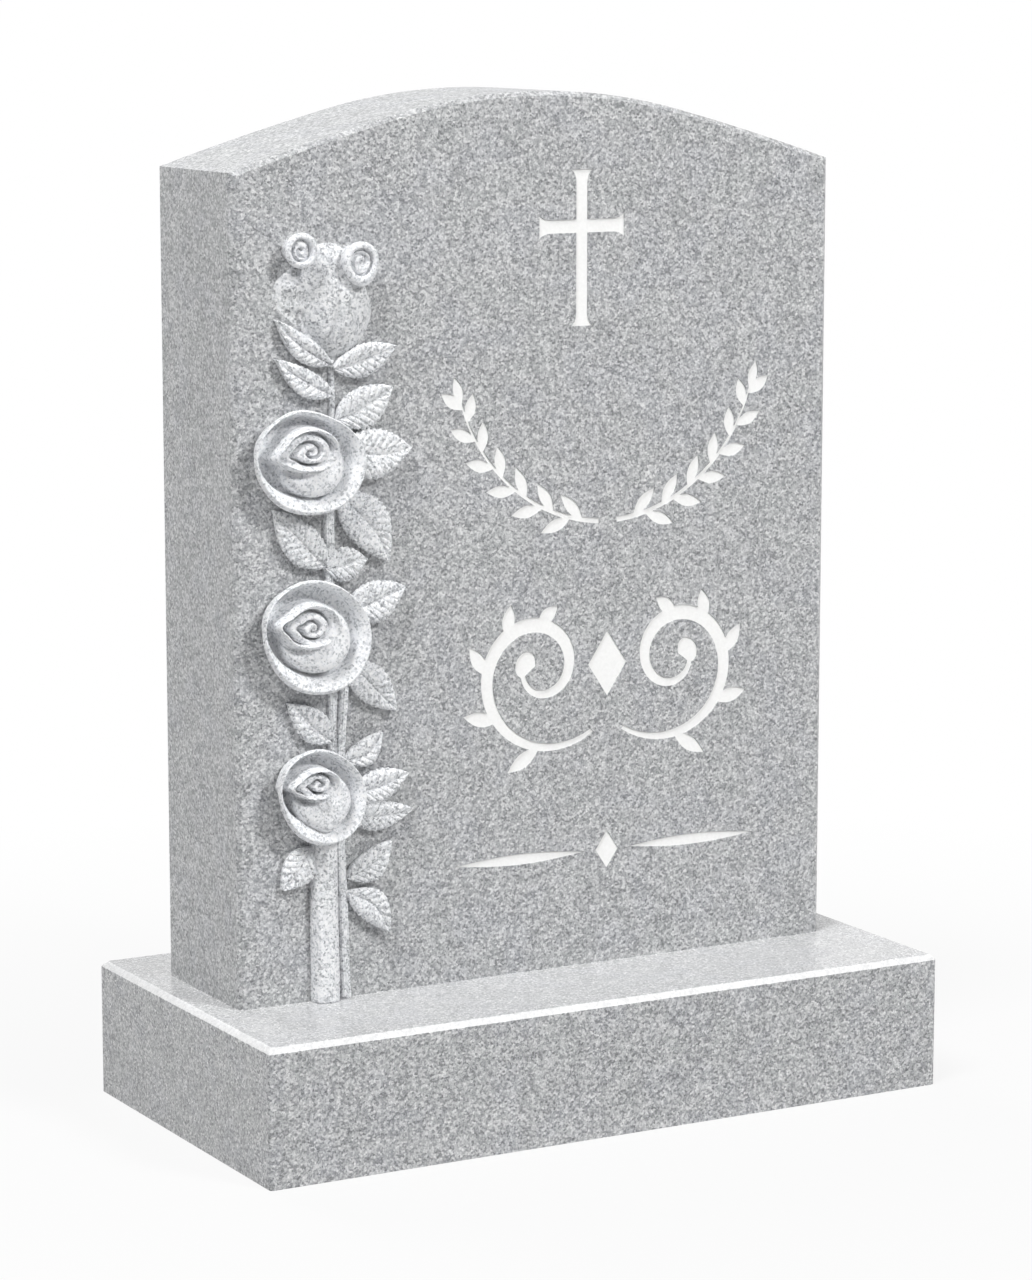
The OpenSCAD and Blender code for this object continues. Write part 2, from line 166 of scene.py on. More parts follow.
def around(angle, middle, spread):
    """1 in the middle direction, falling to 0 away from it. angle is in radians, the
    others are in degrees."""
    return bell((np.degrees(angle) - middle + 180) % 360 - 180, spread)


def compass(sectors):
    """Angles all round, and the unit vector at each."""
    angles = np.linspace(0, 2 * math.pi, sectors, endpoint=False)
    return angles, np.stack([np.cos(angles), np.sin(angles)], axis=1)


def rings(count):
    """Shares of the radius, from the ring next to the middle to the rim."""
    return (np.arange(count) + 1) / count


def smoothed(radius, count):
    """Radii all round, each made the mean of the count radii about it."""
    pad = count - 1
    run = np.concatenate([radius[-pad:], radius, radius[:pad]])
    return np.convolve(run, np.ones(count) / count, "same")[pad:-pad]


LATTICE_SIZE = 64
LATTICE = rng.random((LATTICE_SIZE, LATTICE_SIZE))


def value_noise(x, z, size):
    """Smooth noise from -1 to 1 with lumps of that size."""
    u, v = x / size, z / size
    i, j = np.floor(u).astype(int), np.floor(v).astype(int)
    fu, fv = u - i, v - j
    fu, fv = fu * fu * (3 - 2 * fu), fv * fv * (3 - 2 * fv)
    i0, i1, j0, j1 = (k % LATTICE_SIZE for k in (i, i + 1, j, j + 1))
    low = mix(LATTICE[i0, j0], LATTICE[i1, j0], fu)
    high = mix(LATTICE[i0, j1], LATTICE[i1, j1], fu)
    return 2 * mix(low, high, fv) - 1


def tooling(x, z):
    """Unevenness that the carver's tools leave: coarse, middling and fine."""
    coarse = 0.22 * value_noise(x, z, 5.5 * MM)
    middling = 0.14 * value_noise(z + 0.3, x, 2.3 * MM)
    fine = 0.10 * value_noise(x + 0.7, z, 1.3 * MM)
    return (coarse + middling + fine) * MM


# ---- Making meshes from loops ----

def carved_piece(node, loops, material, centre=None):
    """A closed mesh through loops of points, in place of a node. A centre point, or else
    one face, closes the first loop, and one face closes the last."""
    n = len(loops[0])
    points = np.concatenate(loops)
    faces = []
    for r in range(len(loops) - 1):
        for k in range(n):
            a, b = r * n + k, r * n + (k + 1) % n
            faces.append((a, a + n, b + n, b))
    if centre is not None:
        points = np.concatenate([points, [centre]])
        faces += [(len(points) - 1, k, (k + 1) % n) for k in range(n)]
    else:
        faces.append(tuple(range(n)))
    last = (len(loops) - 1) * n
    faces.append(tuple(last + k for k in reversed(range(n))))
    world = np.stack([points[:, 0], FACE_Y - points[:, 2], points[:, 1]], axis=1)
    obj = mesh_object("carved_" + node, world.tolist(), faces, material)
    smooth_and_face_out(obj.data)
    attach(obj, "root")
    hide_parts(node)
    return obj


def mesh_object(name, points, faces, material):
    mesh = bpy.data.meshes.new(name)
    mesh.from_pydata(points, [], faces)
    mesh.validate()
    mesh.materials.append(material)
    obj = bpy.data.objects.new(name, mesh)
    bpy.context.scene.collection.objects.link(obj)
    return obj


def smooth_and_face_out(mesh):
    mesh.polygons.foreach_set("use_smooth", [True] * len(mesh.polygons))
    bm = bmesh.new()
    bm.from_mesh(mesh)
    bmesh.ops.recalc_face_normals(bm, faces=bm.faces)
    bm.to_mesh(mesh)
    bm.free()


# ---- Materials ----

class Nodes:
    """Short ways to build the nodes of a material or a world."""

    def __init__(self, owner):
        owner.use_nodes = True
        self.owner = owner
        self.tree = owner.node_tree
        self.tree.nodes.clear()

    def add(self, kind, inputs=None, **settings):
        node = self.tree.nodes.new(kind)
        for key, value in settings.items():
            setattr(node, key, value)
        for key, value in (inputs or {}).items():
            if isinstance(value, bpy.types.NodeSocket):
                self.tree.links.new(value, node.inputs[key])
            else:
                node.inputs[key].default_value = value
        return node

    def maths(self, operation, a, b):
        return self.add("ShaderNodeMath", {0: a, 1: b}, operation=operation).outputs[0]

    def map_range(self, value, from_min, from_max, to_min=0.0, to_max=1.0):
        return self.add("ShaderNodeMapRange", {
            "Value": value, "From Min": from_min, "From Max": from_max,
            "To Min": to_min, "To Max": to_max}).outputs[0]

    def ramp(self, fac, stops):
        node = self.add("ShaderNodeValToRGB", {"Fac": fac})
        elements = node.color_ramp.elements
        while len(elements) < len(stops):
            elements.new(0.5)
        for element, (position, colour) in zip(elements, stops):
            element.position = position
            element.color = (*colour, 1)
        return node.outputs["Color"]

    def mix(self, fac, a, b, blend="MIX"):
        """Two colours mixed by fac. Each of the three is a socket or a number, which is a
        grey where a colour is wanted."""
        node = self.add("ShaderNodeMix", data_type="RGBA", blend_type=blend)
        for socket, value in ((node.inputs[0], fac), (node.inputs[6], a), (node.inputs[7], b)):
            if isinstance(value, bpy.types.NodeSocket):
                self.tree.links.new(value, socket)
            else:
                socket.default_value = value if socket.type == "VALUE" else (value, value, value, 1)
        return node.outputs[2]

    def seen(self):
        """1 for camera, glossy and transmission rays, and 0 for the light's own."""
        path = self.add("ShaderNodeLightPath").outputs
        camera_or_gloss = self.maths("MAXIMUM", path["Is Camera Ray"], path["Is Glossy Ray"])
        return self.maths("MAXIMUM", camera_or_gloss, path["Is Transmission Ray"])


CRYSTALS = 470.0        # crystals to a metre
GRAINS = 760.0          # smaller grains to a metre
CRYSTAL_SHARE = 0.62    # the crystals' share of the speckle; the grains have the rest
CLOUDS = 60.0           # soft patches to a metre
CLOUD_CONTRAST = 0.30
TINTS = 26.0            # faint tinted patches to a metre
TINT_SHARE = 0.27
COOL, NEUTRAL, GREENISH = (0.47, 0.485, 0.53), (0.5, 0.5, 0.5), (0.49, 0.515, 0.495)
PAINTED_TOP_LIGHT_GREY = 0.95       # grey that the tops are mixed with: painted light from above
PAINTED_ARRIS_HIGHLIGHT_GREY = 0.98     # grey that the arrises round the top are mixed with: a painted highlight
ARRIS_ROUGHER = 0.25


def granite(name, tones, contrast, rough, bump, bump_depth, painted_light_and_roughness=None):
    """Fine-grained light grey granite. tones are its darkest, middle and lightest greys.
    The last argument gives how far its top is made paler, which is painted light from above,
    how far the arrises round the top are made paler, which is a painted highlight, and how
    much rougher the top is, as on stone that is honed and not polished there."""
    n = Nodes(bpy.data.materials.new(name))
    place = n.add("ShaderNodeTexCoord").outputs["Object"]
    crystals = n.add("ShaderNodeTexVoronoi", {
        "Vector": place, "Scale": CRYSTALS, "Randomness": 1.0})
    grains = n.add("ShaderNodeTexVoronoi", {"Vector": place, "Scale": GRAINS, "Randomness": 1.0})
    cloud = n.add("ShaderNodeTexNoise", {
        "Vector": place, "Scale": CLOUDS, "Detail": 3.0, "Roughness": 0.55}).outputs["Fac"]
    tint = n.add("ShaderNodeTexNoise", {
        "Vector": place, "Scale": TINTS, "Detail": 3.0}).outputs["Fac"]
    crystal = n.add("ShaderNodeSeparateColor", {"Color": crystals.outputs["Color"]}).outputs[0]
    grain = n.add("ShaderNodeSeparateColor", {"Color": grains.outputs["Color"]}).outputs[1]

    speckle = n.maths("ADD", n.maths("MULTIPLY", crystal, CRYSTAL_SHARE),
                      n.maths("MULTIPLY", grain, 1 - CRYSTAL_SHARE))
    wander = n.maths("MULTIPLY", n.maths("SUBTRACT", cloud, 0.5), CLOUD_CONTRAST)
    level = n.maths("ADD", n.maths("MULTIPLY", n.maths("SUBTRACT", speckle, 0.5), contrast),
                    n.maths("ADD", wander, 0.5))
    dark, middle, light = tones
    stone = n.ramp(level, [
        (0.0, (dark, dark * 1.03, dark * 1.08)),
        (0.5, (middle, middle * 1.015, middle * 1.04)),
        (1.0, (light, light, light))])
    tinted = n.ramp(tint, [(0.38, COOL), (0.5, NEUTRAL), (0.64, GREENISH)])
    stone = n.mix(TINT_SHARE, stone, tinted, "SOFT_LIGHT")
    gloss = n.map_range(grain, 0.0, 1.0, rough * 0.8, rough * 1.2)

    if painted_light_and_roughness:
        painted_top_light, painted_arris_highlight, top_rougher = painted_light_and_roughness
        normal = n.add("ShaderNodeTexCoord").outputs["Normal"]
        up = n.add("ShaderNodeSeparateXYZ", {0: normal}).outputs[2]
        top = n.map_range(up, 0.3, 0.6)
        arris = n.maths("MULTIPLY", top, n.map_range(up, 0.85, 0.95, 1.0, 0.0))
        # painted light: the tops are made paler, and a painted highlight runs along the arrises
        # round the top
        stone = n.mix(n.maths("MULTIPLY", top, painted_top_light), stone, PAINTED_TOP_LIGHT_GREY)
        stone = n.mix(n.maths("MULTIPLY", arris, painted_arris_highlight), stone, PAINTED_ARRIS_HIGHLIGHT_GREY)
        gloss = n.maths("ADD", gloss, n.maths("MULTIPLY", arris, ARRIS_ROUGHER))
        gloss = n.maths("ADD", gloss, n.maths("MULTIPLY", top, top_rougher))

    relief = n.add("ShaderNodeBump", {"Height": speckle, "Strength": bump, "Distance": bump_depth})
    shader = n.add("ShaderNodeBsdfPrincipled", {
        "Base Color": stone, "Roughness": gloss, "Normal": relief.outputs[0]})
    n.add("ShaderNodeOutputMaterial", {"Surface": shader.outputs[0]})
    return n.owner


LUMPS = 380.0           # soft lumps in the filling to a metre


def white_filling():
    n = Nodes(bpy.data.materials.new("white_filling"))
    place = n.add("ShaderNodeTexCoord").outputs["Object"]
    lumps = n.add("ShaderNodeTexNoise", {
        "Vector": place, "Scale": LUMPS, "Detail": 3.0}).outputs["Fac"]
    colour = n.ramp(lumps, [(0.3, (0.90, 0.90, 0.89)), (0.7, (0.95, 0.95, 0.94))])
    relief = n.add("ShaderNodeBump", {"Height": lumps, "Strength": 0.25, "Distance": 0.4 * MM})
    shader = n.add("ShaderNodeBsdfPrincipled", {
        "Base Color": colour, "Roughness": 0.7, "Normal": relief.outputs[0]})
    n.add("ShaderNodeOutputMaterial", {"Surface": shader.outputs[0]})
    return n.owner


POLISH = {"tones": (0.12, 0.42, 0.80), "contrast": 0.9, "bump": 0.03, "bump_depth": 0.2 * MM}
FROST = {"rough": 0.72, "bump": 0.35, "bump_depth": 0.5 * MM}

# the paler tops are painted light, and the base's paler top arrises are a painted highlight
POLISHED = granite("polished_granite", rough=0.38, painted_light_and_roughness=(0.1, 0.0, 0.3), **POLISH)
BASE = granite("base_granite", rough=0.24, painted_light_and_roughness=(0.25, 0.42, 0.0), **POLISH)
CARVED = granite("carved_granite", (0.28, 0.78, 0.95), 1.15, **FROST)
# a paler copy of the carved stone for the roses and the small buds: painted light on them
ROSE_STONE_PAINTED_LIGHT = granite("rose_granite_painted_light", (0.38, 0.86, 0.93), 1.1, **FROST)
# a darker copy of the carved stone for the large bud: painted shade on it
BUD_STONE_PAINTED_SHADE = granite("bud_granite_painted_shade", (0.24, 0.68, 0.86), 1.15, **FROST)
FILLING = white_filling()


# ---- Roses ----

ROSE_RINGS = 104
ROSE_SECTORS = 264
ROSE_HALF = 55 * MM         # half width of the rose that the lengths below are for
ROSE_RELIEF = 34.0          # height of its crests, in millimetres
RIM_RISE = 0.60             # height of the rim's outer edge, as a share of the relief
RIM_BUMP_SPREAD = 24
# The cup's undercut side from the rim down: share of the radius, share of the relief
CUP_WALL = [(0.97, 0.50), (0.90, 0.32), (0.83, 0.18), (0.77, 0.07), (0.72, 0.0)]

# Each rose's heart: the core with the almond-shaped eye wound round it, the way the
# eye's corner points, and the big inner petal below it. Millimetres from the rim's
# middle, and degrees. eye is the eye's reach from the core to the side, up and down.
# hollow is how deep the stone is cut under the eye's corner. swell is how much wider
# the outermost petal's lip is at the bottom. bump is where the rim swells, and its
# share of the radius.
ROSES = {
    "rose_upper": {
        "core": (-3, 11), "eye": (29, 22, 18), "corner": 187, "turns": 2.7, "start": 0.1,
        "petal": (2, -2), "petal_r": 30, "petal_tip": 0, "hollow": 9, "swell": 2,
        "bump": (107, 0.05)},
    "rose_middle": {
        "core": (-8, 9.5), "eye": (28, 23, 17.5), "corner": 172, "turns": 2.8, "start": 0.35,
        "petal": (-1, -1), "petal_r": 32.5, "petal_tip": 0, "hollow": 8, "swell": 3,
        "bump": (60, 0.012)},
    "rose_lower": {
        "core": (-9, 15.5), "eye": (26, 18, 16), "corner": 182, "turns": 2.3, "start": 0.6,
        "petal": (0, -3), "petal_r": 32, "petal_tip": 5, "hollow": 13, "swell": 6.5,
        "bump": (100, 0.0)},
}

# The rest is the same on all three. Lengths and heights are in millimetres, and a
# name that ends in _AT is a direction and a spread in degrees.

# The outermost petal: its lip's width, how lopsided and wavy that is, and the
# direction in which it is widest; the lip's rise from the rim to its crest, the share
# of the width at which it is there, and how steeply it falls from there to the groove
LIP_WIDTH, LIP_LOPSIDED, LIP_WAVE, LIP_WIDEST = 9.5, 5.0, 1.0, -60
LIP_CREST, LIP_CREST_SHARE, LIP_SLOPE = 5.2, 0.22, 8.5
LIP_SWELL_AT = (256, 40)
GROOVE, GROOVE_SHALLOWER, GROOVE_DEEPER = 6.0, 4.0, 3.0
GROOVE_SHALLOW_AT, GROOVE_DEEP_AT = (20, 50), (115, 60)

# The inner petal: height of its edge, of its dome over that, and how round the edge
# is; it comes to a tip below and is fuller at the lower right
PETAL_FOOT, PETAL_RISE, PETAL_ROUND, PETAL_FULLER = 17, 10.5, 2.8, 1.8
PETAL_TIP_AT, PETAL_FULLER_AT = (-80, 26), (-40, 50)

# The eye: how far its corner is drawn out; its height, and the least it has where it
# runs out into the inner petal; the radius of its round winding, and where the
# almond-shaped one takes over; its folds, whose width is a share of a turn; the pit at
# its core; the crest just inside its edge, and the ditch inside that; where it runs
# out; and the hollow in the inner petal outside its edge
EYE_CORNER, EYE_CORNER_SPREAD = 7.0, 13
EYE_HEIGHT, EYE_LEAST = 31.5, 25.0
ROUND_WINDING, ALMOND_FROM = 19.0, 15
FOLD_DEPTH, FOLD_WIDTH = 11.0, 0.16
CORE_RADIUS, CORE_DEPTH = 2.0, 3.0
CREST_IN, CREST_WIDTH = 2.2, 2.0
DITCH_IN, DITCH_WIDTH, DITCH_DEPTH = 7.0, 3.0, 3.0
RUN_OUT_AT, RUN_OUT_FROM = (-25, 34), 13
HOLLOW_AT, HOLLOW_OUT, HOLLOW_WIDTH = (228, 34), 3, 3.6


def outermost_petal(edge, angle, swell):
    """A lip whose inner side slopes down to a deep groove. edge is how far in from the rim."""
    width = (LIP_WIDTH + LIP_LOPSIDED * np.cos(angle - math.radians(LIP_WIDEST))
             + LIP_WAVE * np.cos(3 * angle + 1) + swell * around(angle, *LIP_SWELL_AT))
    t = np.clip(edge / width, 0, 1.5)
    crest = LIP_CREST * np.sin(math.pi / 2 * np.clip(t / LIP_CREST_SHARE, 0, 1))
    slope = LIP_SLOPE * np.clip(t - 0.2, 0, None) ** 1.25
    lip = RIM_RISE * ROSE_RELIEF + crest - slope
    groove = (GROOVE + GROOVE_SHALLOWER * around(angle, *GROOVE_SHALLOW_AT)
              - GROOVE_DEEPER * around(angle, *GROOVE_DEEP_AT))
    return over(lip, groove, edge - width, 1.2)


def inner_petal(x, z, shape):
    """A dome under the eye: its height, and how far inside its edge each point lies."""
    r, a = polar(x, z, shape["petal"])
    oval = 1 + 0.05 * np.cos(2 * a + 0.6)
    inside = shape["petal_r"] * oval + shape["petal_tip"] * around(a, *PETAL_TIP_AT) - r
    dome = 1 - np.exp(-np.clip(inside, 0, None) / PETAL_ROUND)
    return PETAL_FOOT + PETAL_RISE * dome + PETAL_FULLER * around(a, *PETAL_FULLER_AT), inside


def eye_reach(angle, shape):
    """How far the eye reaches from its core: an oval drawn out to a corner."""
    side, up, down = shape["eye"]
    tall = mix(up, down, 0.5 - 0.5 * np.sin(angle))
    oval = 1 / np.sqrt((np.cos(angle) / side) ** 2 + (np.sin(angle) / tall) ** 2)
    return oval + EYE_CORNER * around(angle, shape["corner"], EYE_CORNER_SPREAD)


def eye_petals(r, angle, reach, body, shape):
    """Petals wound in a spiral that is round at the core and almond-shaped outside. At the
    lower right they run out into the inner petal's body."""
    share = r / mix(ROUND_WINDING, reach, np.clip(r / ALMOND_FROM, 0, 1))
    turn = shape["turns"] * share - angle / (2 * math.pi) + shape["start"]
    fold = bell(from_whole(turn), FOLD_WIDTH) * smooth_step(r - CORE_RADIUS, 1.2)
    inside = reach - r
    h = EYE_HEIGHT - FOLD_DEPTH * fold - CORE_DEPTH * bell(r, CORE_RADIUS)
    h = h - DITCH_DEPTH * bell(inside - DITCH_IN, DITCH_WIDTH)
    h = mix(h, ROSE_RELIEF, bell(inside - CREST_IN, CREST_WIDTH))
    run_out = around(angle, *RUN_OUT_AT) * smooth_step(r - RUN_OUT_FROM, 4)
    return mix(h, np.maximum(body, EYE_LEAST), run_out)


def rose_height(x, z, edge, angle, shape):
    """Height at x, z. edge and angle are its distance in from the rim and its direction."""
    h = outermost_petal(edge, angle, shape["swell"])
    body, inside_petal = inner_petal(x, z, shape)
    h = over(h, body, inside_petal, 1.0)
    r, a = polar(x, z, shape["core"])
    reach = eye_reach(a, shape)
    inside_eye = reach - r
    h = h - shape["hollow"] * around(a, *HOLLOW_AT) * bell(inside_eye + HOLLOW_OUT, HOLLOW_WIDTH)
    return over(h, eye_petals(r, a, reach, body, shape), inside_eye, 0.8)


def rose(node):
    shape = ROSES[node]
    points = face_points(node)
    rim = hull(points[:, :2])
    middle = outline_middle(rim)
    relief = points[:, 2].max() / (ROSE_RELIEF * MM)
    angles, direction = compass(ROSE_SECTORS)
    bump, bump_size = shape["bump"]
    radius = smoothed(outline_radius(rim, middle, angles), 9)
    radius = radius * (1 + 0.008 * np.sin(3 * angles + 1) + 0.006 * np.sin(5 * angles)
                       + bump_size * around(angles, bump, RIM_BUMP_SPREAD))
    scale = radius.max() / ROSE_HALF

    loops = []
    for u in rings(ROSE_RINGS):
        xz = middle + direction * (radius * u)[:, None]
        local = (xz - middle) / scale / MM
        edge = radius * (1 - u) / scale / MM
        h = rose_height(local[:, 0], local[:, 1], edge, angles, shape) * relief * MM
        loops.append(np.column_stack([xz, h + tooling(xz[:, 0], xz[:, 1])]))
    rim_h = loops[-1][:, 2]
    for share, rise in CUP_WALL:
        wall = middle + direction * (radius * share)[:, None]
        h = rim_h * rise / RIM_RISE if rise else np.full(ROSE_SECTORS, -SUNK)
        loops.append(np.column_stack([wall, h]))
    zero, from_rim = np.zeros(1), np.array([radius.mean() / scale / MM])
    h = rose_height(zero, zero, from_rim, zero, shape)[0] * relief * MM
    return carved_piece(node, loops, ROSE_STONE_PAINTED_LIGHT, centre=(*middle, h))


# ---- Leaves ----

LEAF_STEPS = 120
LEAF_COLUMNS = 38
TOOTH = 5.6 * MM            # length of a saw tooth along the edge
VEIN_GAP = 6.8 * MM         # from one side vein to the next
BACK_INSET = 2.4 * MM       # how far the back turns in under the edge
THINNEST = 1.5              # least height of a leaf's face, in millimetres
MIDRIB_DEPTH, MIDRIB_WIDTH = 1.7, 0.9       # of the groove along the midrib, in millimetres
VEIN_SWELL, VEIN_DEPTH = 0.8, 0.9           # millimetres
VEIN_WIDTH = 0.13           # share of the gap
VEIN_SWEEP = 0.36           # how far a vein runs towards the tip
STEM_X = sum(corner[0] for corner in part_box("stem_upper")) / 2
LEAF_NODES = [name for name in frame["nodes"] if name.startswith("leaf_")]


def leaf_frame(node):
    """Root, direction, length and the outline's two sides at each step from root to tip."""
    points = face_points(node)[:, :2]
    # the tip is far from the stem, and to a lesser degree from the leaf's mean height
    from_stem = np.abs(points[:, 0] - STEM_X)
    tip = points[np.argmax(from_stem + 0.35 * np.abs(points[:, 1] - points[:, 1].mean()))]
    root = points[np.argmax(np.hypot(*(points - tip).T))]
    along = (tip - root) / np.hypot(*(tip - root))
    across = np.array([-along[1], along[0]])
    outline = hull(points)
    t = (outline - root) @ along
    s = (outline - root) @ across
    length = t.max()
    steps = np.linspace(0, 1, LEAF_STEPS + 1)
    sides = np.zeros((LEAF_STEPS + 1, 2))
    # the ends are taken a little further in, where the outline still has two sides
    for i, u in enumerate(np.clip(steps, 0.002, 0.998) * length):
        cuts = []
        for k in range(len(outline)):
            t0, t1, s0, s1 = t[k - 1], t[k], s[k - 1], s[k]
            if (t0 - u) * (t1 - u) <= 0 and t0 != t1:
                cuts.append(s0 + (s1 - s0) * (u - t0) / (t1 - t0))
        sides[i] = max(cuts), min(cuts)
    return root, along, across, length, steps, sides


def blade_height(t, s, half, crest, lean):
    """Two halves folded up from the midrib, with edges that roll down. t runs from root to
    tip, s from 1 to -1 across, half is the blade's half width, and lean tips it sideways."""
    rise = 0.58 + 0.42 * math.sin(math.pi / 2 * min(1, 1.7 * t + 0.12)) - 0.20 * t ** 3
    section = 0.86 + 0.26 * np.abs(s) - 0.40 * np.abs(s) ** 4 + lean * s
    fading = math.sin(math.pi * min(1, t + 0.08)) ** 0.5
    return crest * rise * section - MIDRIB_DEPTH * bell(s * half, MIDRIB_WIDTH) * fading


def vein_height(t, s, veins, shape):
    """Side veins run from the midrib towards the tip, and the blade swells between them.
    shape is the leaf's width as a share of its length."""
    near = from_whole((t - VEIN_SWEEP * np.abs(s) ** 0.9 * shape) * veins + 0.5 * (s > 0))
    from_midrib = np.clip(0.35 + 2.2 * np.abs(s), 0, 1)
    from_edge = np.clip(5 * (1.02 - np.abs(s)), 0, 1)
    from_tip = min(1, 5 * (1 - t))
    relief = VEIN_SWELL * np.sin(math.pi * near) ** 0.6 - VEIN_DEPTH * bell(near, VEIN_WIDTH)
    return relief * from_midrib * from_edge * from_tip


def leaf(node, seed):
    root, along, across, length, steps, sides = leaf_frame(node)
    crest = face_points(node)[:, 2].max() / MM
    wide = (sides[:, 0] - sides[:, 1]).max()
    teeth = round(length / TOOTH)
    veins = round(length / VEIN_GAP)
    lean = 0.10 * math.sin(seed * 2.4 + 1)
    s = np.linspace(1, -1, LEAF_COLUMNS + 1)
    loops = []
    for t, (left, right) in zip(steps, sides):
        centre = (left + right) / 2
        midrib = centre + 0.03 * wide * math.sin(2 * math.pi * t + seed)
        # saw teeth that point to the tip
        bite = 1 + 0.10 * ((t * teeth) % 1 - 0.6) * min(1, 6 * t, 8 * (1 - t))
        offset = midrib + np.where(s > 0, (left - midrib) * s, (midrib - right) * s) * bite
        half = max(left - right, 0.1 * MM) / 2 / MM
        h = blade_height(t, s, half, crest, lean) + vein_height(t, s, veins, wide / length)
        xz = root + np.outer(np.full(len(s), t * length), along) + np.outer(offset, across)
        h = np.maximum(h, THINNEST) * MM + tooling(xz[:, 0], xz[:, 1])
        # the back turns in under the edge, down to a narrower foot on the stone
        foot = max((left - right) / 2 - BACK_INSET, 0.3 * (left - right) / 2)
        turn_in, turn_h = 0.9 * bite, 0.45
        back = [(mix(centre, right, turn_in), turn_h * h[-1]), (centre - foot, -SUNK),
                (centre + foot, -SUNK), (mix(centre, left, turn_in), turn_h * h[0])]
        under = [[*(root + along * t * length + across * shift), height] for shift, height in back]
        loops.append(np.concatenate([np.column_stack([xz, h]), under]))
    return carved_piece(node, loops, CARVED)


# ---- Small buds ----

BUD_RINGS = 44
BUD_SECTORS = 128
# The ball's side from the rim down: share of the radius, share of the rim's height
BUD_WALL = [(0.98, 0.84), (0.84, 0.62), (0.70, 0.3), (0.66, 0.0)]
BUD_DITCH_EDGE, BUD_HEART_EDGE = 0.65, 0.52                 # shares of the radius
BUD_DITCH, BUD_HEART, BUD_MIDDLE = 0.62, 0.90, 0.66         # shares of the bud's height
BUD_FOLD_DEPTH, BUD_FOLD_WIDTH, BUD_TURNS = 0.24, 0.17, 1.9
BUD_EYE_DEPTH, BUD_EYE_RADIUS = 0.20, 0.09


def bud(node, spin, shift):
    """A ball of petals seen end on: a rim, a ditch and a spiral heart. shift is how far its
    face leans over across and up."""
    points = face_points(node)
    low, high = points[:, :2].min(0), points[:, :2].max(0)
    half = (high[0] - low[0]) / 2
    middle = np.array([(low[0] + high[0]) / 2, high[1] - half])
    tall = points[:, 2].max()
    angles, direction = compass(BUD_SECTORS)
    radius = outline_radius(hull(points[:, :2]), middle, angles)
    loops = []
    for u in rings(BUD_RINGS):
        xz = middle + direction * (radius * u)[:, None]
        # q is a share of a round bud's radius near the middle, and of the outline's at the rim
        q = mix(radius, half, np.clip(1.6 * (1 - u), 0, 1)) * u / half
        inward, outward = np.clip((0.80 - q) / 0.2, 0, 1), np.clip((u - 0.78) / 0.22, 0, 1)
        rim = 1.0 - 0.05 * inward - 0.14 * outward ** 2
        fold = bell(from_whole(q * BUD_TURNS - angles / (2 * math.pi) + spin), BUD_FOLD_WIDTH)
        heart = BUD_HEART - BUD_FOLD_DEPTH * fold - BUD_EYE_DEPTH * bell(q, BUD_EYE_RADIUS)
        h = over(rim, BUD_DITCH, (BUD_DITCH_EDGE - q) * half / MM, 0.4)
        h = over(h, heart, (BUD_HEART_EDGE - q) * half / MM, 0.4)
        loops.append(np.column_stack([xz + shift, h * tall + 0.7 * tooling(xz[:, 0], xz[:, 1])]))
    rim_h = loops[-1][:, 2]
    for share, rise in BUD_WALL:
        wall = middle + shift * rise + direction * (radius * share)[:, None]
        h = rim_h * rise if rise else np.full(BUD_SECTORS, -SUNK)
        loops.append(np.column_stack([wall, h]))
    return carved_piece(node, loops, ROSE_STONE_PAINTED_LIGHT, centre=(*(middle + shift), BUD_MIDDLE * tall))


# ---- The large half-open bud ----

TOP_RINGS = 90
TOP_SECTORS = 240
# Its petals: middle and half size as shares of the bud's width and height, and height
# as a share of its relief
MAIN_PETAL = ((0.66, 0.40), (0.36, 0.40), 0.72)
SIDE_PETAL = ((0.29, 0.59), (0.25, 0.20), 0.40)
BACK_PETAL = ((0.57, 0.76), (0.32, 0.24), 0.44)
CUT_HEAD, CUT_FOOT = (0.30, 0.36), (0.47, 0.14)     # the main petal's steep lower left side
TOP_MIDDLE = (0.55, 0.50)   # where its rings of points are centred
SQUARENESS = 2.3            # 2 would make a petal's outline an ellipse
SIDE_HOLLOW = 2.2 * MM


def petal_dome(x, z, centre, half, tall):
    """A petal's bulge, and how far inside its edge each point lies in millimetres."""
    u, v = np.abs((x - centre[0]) / half[0]), np.abs((z - centre[1]) / half[1])
    q = (u ** SQUARENESS + v ** SQUARENESS) ** (1 / SQUARENESS)
    return tall * np.clip(1 - q ** 2.6, 0, None) ** 0.75, (1 - q) * half.min() / MM


def soft_highest(heights, soft):
    """The highest of some heights, blended where they come near one another."""
    return soft * np.log(sum(np.exp(h / soft) for h in heights)) - soft * math.log(len(heights))


